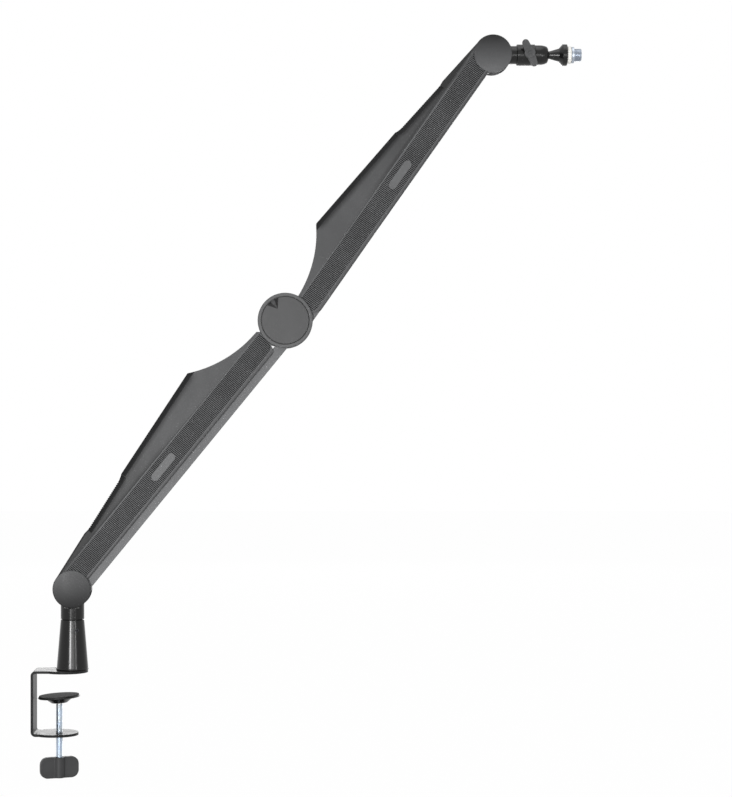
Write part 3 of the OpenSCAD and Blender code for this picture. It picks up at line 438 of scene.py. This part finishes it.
def cable_cover(arm):
    """Matt black cover with painted shade, darkest along its top and a little paler low down, and
    paler along its sharp edges.
    """
    material, n = new_material(arm + " cover plastic")
    origin, along, up = ARM_FRAMES[arm]
    u = n.along(along, origin)
    below = fin_top(u) - n.along(up, origin)
    fine = n.noise(900, 4)
    # Painted shade: paler from COVER_TURN down, so that the cover's top stays darker
    value = (COVER_SHADE + below.step(*COVER_TURN) * COVER_PAINTED_LIGHT) * n.clouds(45).shading(0.2)
    value = value + n.edges(0.5 * MM) * COVER_EDGE
    n.surface(
        base_color=n.tinted(value, COOL),
        roughness=0.55 + fine.swing(0.15),
        specular_ior_level=0.1,
        normal=n.bump(fine, 0.03 * MM, n.rounded(0.3 * MM)),
    )
    return material


def hub_paint(name, shade):
    """Hub paint, with painted shade on the finger notch's walls and floor and in the cap's groove.
    """
    material, n = new_material(name)
    fine = n.noise(1700, 3)
    over = n.along(UPRIGHT, HUB)
    beside = n.along(SIDEWAYS, HUB)
    out = (over * over + beside * beside) ** 0.5
    inside = 1 - out.step(CAP_R, CAP_R + CAP_SEAM)
    # Painted shade in the cap's groove
    groove_shade = out.between(*GROOVE, GROOVE_SOFT)
    # Painted shade on the finger notch's walls and floor, by the way they face
    notch_wall_shade = n.facing(polar(1, NOTCH_ANGLE + 90)).step(*NOTCH_WALL_FACING) * inside
    floor = n.facing(polar(1, NOTCH_ANGLE)).step(*NOTCH_FLOOR_FACING) * inside
    value = n.clouds(25).shading(0.1) * shade
    value = value * (1 - notch_wall_shade * NOTCH_WALL_SHADING) * (1 - floor * NOTCH_FLOOR_SHADING)
    value = value * (1 - groove_shade * GROOVE_SHADING) + n.edges(0.4 * MM) * HUB_EDGE
    n.surface(
        base_color=n.tinted(value, COOL),
        roughness=0.4 + n.smears(),
        specular_ior_level=0.3,
        normal=n.bump(fine, 0.02 * MM, n.rounded(0.3 * MM)),
    )
    return material


def gloss_black(name, roughness=0.24, specular=0.3):
    """Smooth black enamel with faint swirls and an orange-peel surface."""
    material, n = new_material(name)
    peel = n.noise(420, 2)
    swirl = n.noise(60, 5, stretch=(1, 1, 4))
    worn = n.edges(0.4 * MM) * n.noise(300, 3).step(0.35, 0.65)
    n.surface(
        base_color=n.mix(worn * 0.4, grey(ENAMEL_SHADE), grey(ENAMEL_EDGE)),
        roughness=roughness + swirl.swing(0.12) + worn * 0.1,
        specular_ior_level=specular,
        normal=n.bump(peel, 0.008 * MM, n.rounded(0.3 * MM)),
    )
    return material


def moulded(name, shade, roughness, tint=COOL, bump=0.03, specular=0.2):
    """Moulded plastic with a spark-eroded grain."""
    material, n = new_material(name)
    fine = n.noise(900, 4)
    tone = n.mix(n.clouds(45), grey(shade * 0.9, tint), grey(shade * 1.1, tint))
    tone = n.mix(n.edges(0.6 * MM) * 0.35, tone, grey(min(shade * 2.2, 0.9), tint))
    n.surface(
        base_color=tone,
        roughness=roughness + n.noise(160, 3).swing(0.2),
        specular_ior_level=specular,
        normal=n.bump(fine, bump * MM, n.rounded(0.3 * MM)),
    )
    return material


def metal(name, colour, roughness, stretch, stain=None, stain_amount=0.0):
    """Bare or plated metal with turning marks drawn along one axis."""
    material, n = new_material(name)
    marks = n.noise(700, 4, stretch=stretch)
    cloud = n.noise(90, 4)
    darker = [part * TURNING_DARK for part in colour]
    tone = n.mix(marks * 0.35, (*colour, 1.0), (*darker, 1.0))
    if stain:
        tone = n.mix(cloud.step(0.4, 0.75) * stain_amount, tone, (*stain, 1.0))
    n.surface(
        base_color=tone,
        metallic=1.0,
        roughness=roughness + marks.swing(0.18) + cloud.swing(0.1),
        normal=n.bump(marks, 0.006 * MM, n.rounded(0.15 * MM)),
    )
    return material


def rubber():
    """Matt rubber with a fine grain."""
    material, n = new_material("pad rubber")
    fine = n.noise(1200, 4)
    n.surface(
        base_color=n.mix(n.clouds(70), grey(0.014), grey(0.024)),
        roughness=0.78 + fine.swing(0.12),
        specular_ior_level=0.3,
        normal=n.bump(fine, 0.03 * MM, n.rounded(0.25 * MM)),
    )
    return material


def dress(material, *names):
    """Gives a material to CAD nodes."""
    for name in names:
        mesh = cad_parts[name].data
        mesh.materials.clear()
        mesh.materials.append(material)


def both(*names):
    """The names of the pieces of both arms."""
    return [arm + "_" + name for arm in ("lower", "upper") for name in names]


SHELL = {arm: painted(arm + " arm paint", 0.064, 0.46, arm=arm) for arm in ARM_FRAMES}
COVER = {arm: cable_cover(arm) for arm in ARM_FRAMES}
# The base and head discs share one paint: the darker base copy and the paler head copy are painted
# shade and light, and each has a painted reflection, paler towards the base disc's top and the
# head disc's bottom
BASE_DISC = painted("base disc paint", 0.036, 0.36, grain=1700, specular=0.12, painted_reflection=(FOOT, 0.75))
HEAD_DISC = painted("head disc paint", 0.064, 0.36, grain=1700, specular=0.12, painted_reflection=(HEAD, -0.75))
RING = hub_paint("ring paint", 0.068)
CAP = hub_paint("cap paint", 0.044)
PLATE = painted("clamp paint", 0.014, 0.34, grain=1100, bump=0.012, specular=0.08)
LINK = painted("link paint", 0.12, 0.44)
BADGE = painted("badge paint", 0.1, 0.38, grain=2500, bump=0.008)
RIBBED = ribbed_panel()
KNOB = moulded("knob plastic", 0.042, 0.42)
WING = moulded("wing plastic", 0.068, 0.5)
CORE = moulded("core plastic", 0.012, 0.5, specular=0.1)
NYLON = moulded("white nylon", 0.8, 0.42, tint=(1.0, 0.985, 0.94), bump=0.01)
BLACK = gloss_black("gloss black")
POST = gloss_black("post enamel", roughness=0.2, specular=0.26)
ZINC = metal("zinc plate", (0.62, 0.70, 0.80), 0.34, (1, 1, 0.1), (0.75, 0.72, 0.6), 0.35)
DARK_ZINC = metal("oiled screw steel", (0.05, 0.05, 0.055), 0.35, (1, 1, 1))
STEEL = metal("turned steel", (0.42, 0.46, 0.52), 0.38, (0.1, 1, 1))
RUBBER = rubber()

for arm in ARM_FRAMES:
    dress(SHELL[arm], arm + "_shell")
    dress(COVER[arm], arm + "_cable_cover")
dress(RIBBED, *both("panel_front", "panel_rear"))
dress(BADGE, *both("badge_front", "badge_rear"))
dress(LINK, *both("link"))
dress(ZINC, *both("spring"), "hub_screws")
dress(DARK_ZINC, "grub_screw")
dress(STEEL, *both("spring_pin"), "post_bolt", "swivel_spigot", "base_pin", "base_link_pin")
dress(STEEL, "hub_stub_pins", "hub_link_pins", "head_pin", "head_link_pin", "stem_stud")
dress(BASE_DISC, "base_disc_front", "base_disc_rear")
dress(HEAD_DISC, "head_disc_front", "head_disc_rear")
dress(RING, "hub_plate_front", "hub_plate_rear")
dress(CAP, "hub_cap_front", "hub_cap_rear")
dress(PLATE, "clamp_frame")
dress(POST, "post_cone", "swivel_head")
dress(BLACK, "head_block", "ball_housing", "ball_stem", "clamp_pad")
dress(CORE, "hub_core", "swivel_washer")
dress(NYLON, "post_bush", "base_washers", "head_washers")
dress(NYLON, "ball_seat", "stem_washer", "pad_retainer")
dress(RUBBER, "pad_rubber")


# Pieces with threads and moulded shapes

AROUND = 64
WELD = 1e-6
SHARP_DEGREES = 28
# One turn of a thread, from root to root: parts of the pitch and of the depth
THREAD_SHAPE = [(0.0, 0.0), (0.14, 0.0), (0.44, 1.0), (0.60, 1.0), (0.90, 0.0)]

CLAMP_PITCH = 1.25 * MM
CLAMP_THREAD_DEPTH = 0.62 * MM
CLAMP_CHAMFER = 0.7 * MM
TIP_R = 2.75 * MM
TIP_LENGTH = 6.2 * MM
TIP_CHAMFER = 0.4 * MM
TIP_SUNK = 2 * MM
TIP_MIDDLE_R = 0.2 * MM

MIC_PITCH = INCH / 27
MIC_THREAD_R = 7.94 * MM
MIC_THREAD_DEPTH = 0.5 * MM
MIC_CHAMFER = 0.8 * MM
MIC_THREAD_SUNK = 0.3 * MM
STUD_R = 4.8 * MM
RING_THICK = 3.5 * MM
RING_EDGE = 0.5 * MM


def add_piece(name, mesh, body, material, slot, *replaced):
    """Shows a new mesh in place of CAD nodes, on their body."""
    piece = bpy.data.objects.new(name, mesh)
    bpy.context.scene.collection.objects.link(piece)
    mesh.materials.clear()
    mesh.materials.append(material)
    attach(piece, body)
    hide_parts(*replaced)


def smooth(mesh):
    for polygon in mesh.polygons:
        polygon.use_smooth = True


def circle(radius, height):
    """Points round the upright axis."""
    angles = [2 * math.pi * k / AROUND for k in range(AROUND)]
    return [(radius * math.cos(a), radius * math.sin(a), height) for a in angles]


def laid_mesh(name, made, start, direction):
    """A mesh of a shape that was made upright, laid along a direction from a start."""
    bmesh.ops.recalc_face_normals(made, faces=made.faces)
    turn = UPRIGHT.rotation_difference(direction).to_matrix().to_4x4()
    made.transform(Matrix.Translation(start) @ turn)
    mesh = bpy.data.meshes.new(name)
    made.to_mesh(mesh)
    made.free()
    smooth(mesh)
    mesh.set_sharp_from_angle(angle=math.radians(SHARP_DEGREES))
    return mesh


def thread_columns(radius, depth, pitch, length, chamfer):
    """Columns of (along, radius) points for each step round a right-handed thread."""
    turns = math.ceil(length / pitch) + 2
    columns = []
    for step in range(AROUND):
        column = []
        for turn in range(-1, turns):
            for part, height in THREAD_SHAPE:
                along = (turn + part + step / AROUND - 1) * pitch
                place = min(max(along, 0.0), length)
                room = min(place, length - place)
                limit = radius - depth + min(room, chamfer) / chamfer * depth
                column.append((place, min(radius - depth + height * depth, limit)))
        columns.append(column)
    return columns


def wall_bore(made, rims, bore, length):
    """Walls a bore through a rod and joins it to the rod's rims."""
    ends = (0.0, length)
    inner = [[made.verts.new(point) for point in circle(bore, end)] for end in ends]
    for k in range(AROUND):
        after = (k + 1) % AROUND
        made.faces.new((inner[0][k], inner[1][k], inner[1][after], inner[0][after]))
    for ring, end in zip(inner, ends):
        rim = [e for e in rims if abs(e.verts[0].co.z - end) < WELD]
        loop = [made.edges.get((ring[k], ring[(k + 1) % AROUND])) for k in range(AROUND)]
        bmesh.ops.bridge_loops(made, edges=rim + loop)


def threaded_rod(name, start, direction, radius, depth, pitch, length, chamfer, bore=0.0):
    """A rod with a real helical thread, closed at both ends or bored through."""
    columns = thread_columns(radius, depth, pitch, length, chamfer)
    rows = len(columns[0])
    made = bmesh.new()
    grid = []
    for step, column in enumerate(columns):
        angle = 2 * math.pi * step / AROUND
        spoke = Vector((math.cos(angle), math.sin(angle), 0))
        grid.append([made.verts.new(spoke * r + Vector((0, 0, a))) for a, r in column])
    for step in range(AROUND):
        shift = len(THREAD_SHAPE) if step == AROUND - 1 else 0
        following = grid[(step + 1) % AROUND]
        for row in range(rows - 1 - shift):
            corners = (grid[step][row], following[row + shift])
            corners += (following[row + 1 + shift], grid[step][row + 1])
            made.faces.new(corners)
    bmesh.ops.remove_doubles(made, verts=made.verts, dist=WELD)
    bmesh.ops.dissolve_degenerate(made, edges=made.edges, dist=WELD)
    loose = [v for v in made.verts if not v.link_faces]
    bmesh.ops.delete(made, geom=loose, context="VERTS")
    rims = [e for e in made.edges if len(e.link_faces) == 1]
    if bore:
        wall_bore(made, rims, bore, length)
    else:
        bmesh.ops.holes_fill(made, edges=rims, sides=0)
    return laid_mesh(name, made, start, direction)


def lathe(name, start, direction, section):
    """A closed ring turned from a section of (radius, along) corners."""
    made = bmesh.new()
    rings = []
    for radius, height in section:
        rings.append([made.verts.new(point) for point in circle(radius, height)])
    for row, ring in enumerate(rings):
        after = rings[(row + 1) % len(rings)]
        for k in range(AROUND):
            turn = (k + 1) % AROUND
            made.faces.new((ring[k], ring[turn], after[turn], after[k]))
    return laid_mesh(name, made, start, direction)


def joined(name, *meshes):
    """One mesh out of several."""
    made = bmesh.new()
    for mesh in meshes:
        made.from_mesh(mesh)
    whole = bpy.data.meshes.new(name)
    made.to_mesh(whole)
    made.free()
    return whole


def soft_copy(name, node, voxel, passes):
    """A CAD node's shape with every edge moulded round."""
    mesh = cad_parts[node].data.copy()
    mesh.name = name
    carrier = bpy.data.objects.new(name + "_shaping", mesh)
    bpy.context.scene.collection.objects.link(carrier)
    remesh = carrier.modifiers.new("remesh", "REMESH")
    remesh.mode = "VOXEL"
    remesh.voxel_size = voxel
    relax = carrier.modifiers.new("relax", "SMOOTH")
    relax.factor = 0.5
    relax.iterations = passes
    evaluated = carrier.evaluated_get(bpy.context.evaluated_depsgraph_get())
    shaped = bpy.data.meshes.new_from_object(evaluated)
    bpy.data.objects.remove(carrier)
    shaped.name = name
    smooth(shaped)
    return shaped


def make_clamp_screw():
    low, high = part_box("clamp_screw")
    radius = (high.x - low.x) / 2
    start = Vector(((low.x + high.x) / 2, (low.y + high.y) / 2, low.z))
    length = high.z - low.z - TIP_LENGTH
    thread = threaded_rod(
        "thread", start, UPRIGHT, radius, CLAMP_THREAD_DEPTH, CLAMP_PITCH, length, CLAMP_CHAMFER,
    )
    tip_low = length - TIP_SUNK
    tip_high = length + TIP_LENGTH
    tip = lathe("tip", start, UPRIGHT, [
        (TIP_MIDDLE_R, tip_low), (TIP_R, tip_low), (TIP_R, tip_high - TIP_CHAMFER),
        (TIP_R - TIP_CHAMFER, tip_high), (TIP_MIDDLE_R, tip_high),
    ])
    mesh = joined("clamp_screw_thread", thread, tip)
    add_piece("clamp_screw_thread", mesh, "screw", ZINC, "zinc", "clamp_screw")


def make_thread_adapter():
    low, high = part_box("thread_adapter")
    ring_r = (high.z - low.z) / 2
    start = Vector((low.x, (low.y + high.y) / 2, (low.z + high.z) / 2))
    ring = lathe("ring", start, SIDEWAYS, [
        (STUD_R, 0.0), (ring_r - RING_EDGE, 0.0), (ring_r, RING_EDGE),
        (ring_r, RING_THICK - RING_EDGE), (ring_r - RING_EDGE, RING_THICK), (STUD_R, RING_THICK),
    ])
    thread_at = start + SIDEWAYS * (RING_THICK - MIC_THREAD_SUNK)
    length = high.x - thread_at.x
    thread = threaded_rod(
        "thread", thread_at, SIDEWAYS, MIC_THREAD_R, MIC_THREAD_DEPTH, MIC_PITCH, length,
        MIC_CHAMFER, STUD_R,
    )
    mesh = joined("mic_thread_end", ring, thread)
    add_piece("mic_thread_end", mesh, "stem", STEEL, "steel", "thread_adapter")


def make_knob():
    mesh = soft_copy("turning_knob", "clamp_knob", voxel=0.45 * MM, passes=6)
    add_piece("turning_knob", mesh, "screw", KNOB, "black_plastic", "clamp_knob")


def make_wing():
    mesh = soft_copy("locking_wing", "wing_screw", voxel=0.28 * MM, passes=5)
    add_piece("locking_wing", mesh, "wing", WING, "black_plastic", "wing_screw")


make_clamp_screw()
make_thread_adapter()
make_knob()
make_wing()


# Light, floor and backdrop

AMBIENT = 0.46
FLOOR_DROP = 3 * MM
FLOOR_HALF = 8.0
FLOOR_SHADE = 0.8
FLOOR_GLOW = 0.985
SUBJECT = (0.30, 0.0, 0.40)
POST_AT = (0.0, 0.0, 0.05)
# Each lamp's place, what it points at, its width and height in metres, and its watts
LAMPS = {
    "overhead": ((0.2, -0.4, 2.6), SUBJECT, 1.8, 1.8, 18),
    "front_band": ((0.3, -4.6, 0.2), SUBJECT, 2.6, 0.45, 38),
    "rear_band": ((0.3, 4.2, 0.9), SUBJECT, 2.6, 0.8, 30),
    "left_box": ((-0.56, -2.54, 0.25), POST_AT, 0.4, 0.5, 34),
    "right_strip": ((1.36, -2.20, 0.25), POST_AT, 0.15, 0.6, 7),
}


def seen_plainly(n):
    """1 for rays from the camera, a mirror or glass, 0 for rays that only light."""
    path = n.add("LightPath")
    seen = path.output("Is Camera Ray").most(path.output("Is Glossy Ray"))
    return seen.most(path.output("Is Transmission Ray"))


def light_world():
    world = bpy.data.worlds.new("white studio")
    world.use_nodes = True
    bpy.context.scene.world = world
    n = Nodes(world.node_tree)
    strength = AMBIENT + seen_plainly(n) * (1 - AMBIENT)
    background = n.add("Background", inputs={"Color": WHITE, "Strength": strength})
    n.add("OutputWorld", inputs={"Surface": background})


def lay_floor():
    mesh = bpy.data.meshes.new("floor")
    half = FLOOR_HALF
    height = cad_box[0].z - FLOOR_DROP
    corners = [(-half, -half, height), (half, -half, height)]
    corners += [(half, half, height), (-half, half, height)]
    mesh.from_pydata(corners, [], [(0, 1, 2, 3)])
    floor = bpy.data.objects.new("floor", mesh)
    bpy.context.scene.collection.objects.link(floor)
    material, n = new_material("white floor")
    mesh.materials.append(material)
    matt = n.add("BsdfDiffuse", inputs={"Color": grey(FLOOR_SHADE)})
    glow = n.add("Emission", inputs={"Color": WHITE, "Strength": 1.0})
    shown = n.add("MixShader", inputs={0: seen_plainly(n) * FLOOR_GLOW, 1: matt, 2: glow})
    n.add("OutputMaterial", inputs={"Surface": shown})


def hang_lamps():
    for name, (place, target, width, height, power) in LAMPS.items():
        data = bpy.data.lights.new(name, "AREA")
        data.shape = "RECTANGLE"
        data.size = width
        data.size_y = height
        data.energy = power
        lamp = bpy.data.objects.new(name, data)
        bpy.context.scene.collection.objects.link(lamp)
        lamp.location = place
        aim = Vector(target) - Vector(place)
        lamp.rotation_euler = aim.to_track_quat("-Z", "Y").to_euler()


place_camera()
light_world()
lay_floor()
hang_lamps()
bpy.context.scene.view_settings.view_transform = "Standard"
